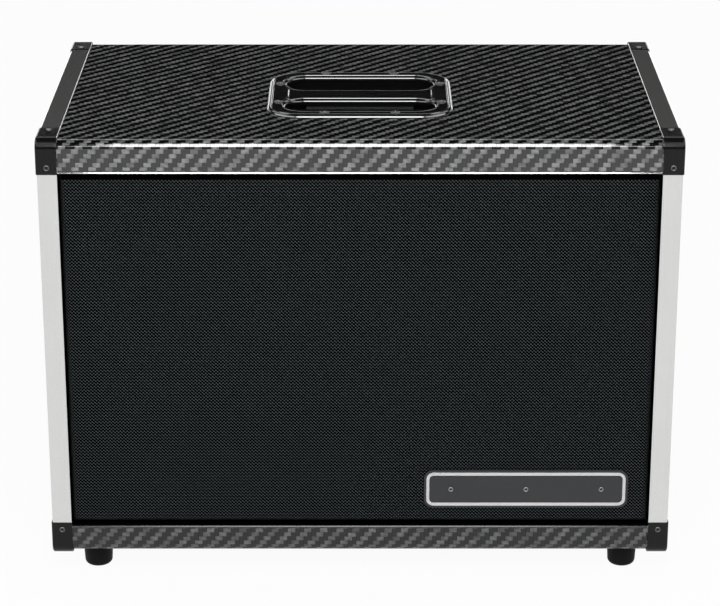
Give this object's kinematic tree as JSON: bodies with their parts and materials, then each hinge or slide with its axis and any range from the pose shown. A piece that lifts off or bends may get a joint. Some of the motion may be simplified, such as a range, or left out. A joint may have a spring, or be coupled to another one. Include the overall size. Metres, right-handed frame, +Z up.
{
  "type": "guitar speaker cabinet",
  "caption": "Guitar speaker cabinet: gloss carbon-weave shell, aluminium edge strips, black corner caps, recessed bar handle, rubber feet and a pull-off cloth grille over the driver",
  "frame": {"origin": "on the floor, under the middle of the cabinet's box", "axes": "+X to the right seen from the front, +Y from the front to the rear, +Z up"},
  "size_m": [0.5788, 0.3488, 0.4303],
  "materials": {
    "carbon_gloss": "clear-coated twill weave",
    "black_board": "matt black painted board",
    "bare_timber": "planed softwood",
    "edge_aluminium": "satin anodised",
    "corner_black": "satin black powder coat",
    "rivet_black": "black lacquer",
    "handle_black": "satin black moulding",
    "screw_black": "black oxide",
    "foot_rubber": "matt moulded rubber",
    "zinc_steel": "bright zinc plate",
    "grille_weave": "coarse woven cloth",
    "badge_grey": "satin dark grey",
    "badge_rivet_steel": "plain steel",
    "peg_plastic": "moulded nylon",
    "basket_black": "black powder coat on pressed steel",
    "gasket_fibre": "pressed fibre",
    "edge_cloth": "doped pleated cloth",
    "spider_cloth": "resin-set cotton",
    "cone_paper": "felted paper",
    "former_film": "polyimide film",
    "coil_copper": "enamelled copper",
    "magnet_ferrite": "sintered ferrite",
    "terminal_fibre": "laminated fibre board",
    "terminal_brass": "tinned brass",
    "dish_black": "black crackle coat",
    "jack_nickel": "black moulding",
    "nut_nickel": "nickel plate",
    "lead_plastic": "PVC sleeve"
  },
  "bodies": {
    "cabinet": {"top_panel": "carbon_gloss", "bottom_panel": "carbon_gloss", "left_side_panel": "carbon_gloss", "right_side_panel": "carbon_gloss", "rear_panel": "black_board", "baffle_board": "black_board", "panel_cleats": "bare_timber", "left_front_strip": "edge_aluminium", "left_rear_strip": "edge_aluminium", "left_top_strip": "edge_aluminium", "left_bottom_strip": "edge_aluminium", "right_front_strip": "edge_aluminium", "right_rear_strip": "edge_aluminium", "right_top_strip": "edge_aluminium", "right_bottom_strip": "edge_aluminium", "corner_left_front_bottom": "corner_black", "corner_left_front_top": "corner_black", "corner_left_rear_bottom": "corner_black", "corner_left_rear_top": "corner_black", "corner_right_front_bottom": "corner_black", "corner_right_front_top": "corner_black", "corner_right_rear_bottom": "corner_black", "corner_right_rear_top": "corner_black", "corner_rivets": "rivet_black", "handle_frame": "handle_black", "handle_cup": "handle_black", "handle_screws": "screw_black", "rear_screws": "screw_black", "foot_left_front": "foot_rubber", "foot_left_rear": "foot_rubber", "foot_right_front": "foot_rubber", "foot_right_rear": "foot_rubber", "foot_screws": "zinc_steel", "speaker_bolts": "zinc_steel", "tee_nuts": "zinc_steel", "magnet_front_plate": "zinc_steel", "magnet_back_plate": "zinc_steel", "grille_sockets": "peg_plastic", "speaker_basket": "basket_black", "speaker_gasket": "gasket_fibre", "surround": "edge_cloth", "spider": "spider_cloth", "coil_leads": "coil_copper", "magnet_ring": "magnet_ferrite", "terminal_board": "terminal_fibre", "terminal_tags": "terminal_brass", "connector_dish": "dish_black", "input_jack": "jack_nickel", "link_jack": "jack_nickel", "jack_nuts": "nut_nickel", "speaker_leads": "lead_plastic"},
    "cone": {"speaker_cone": "cone_paper", "dust_cap": "cone_paper", "coil_former": "former_film", "voice_coil": "coil_copper"},
    "grille": {"grille_frame": "bare_timber", "grille_cloth": "grille_weave", "badge_plate": "badge_grey", "badge_rivets": "badge_rivet_steel", "grille_pegs": "peg_plastic"}
  },
  "joints": [
    {"name": "cone_travel", "type": "slide", "parent": "cabinet", "child": "cone", "axis": [0, -1, 0], "range_m": [-0.004, 0.004], "stiffness_N_per_m": 6000, "deforming": ["surround", "spider", "coil_leads"]},
    {"name": "grille_pull", "type": "slide", "parent": "cabinet", "child": "grille", "axis": [0, -1, 0], "range_m": [0, 0.05]}
  ]
}
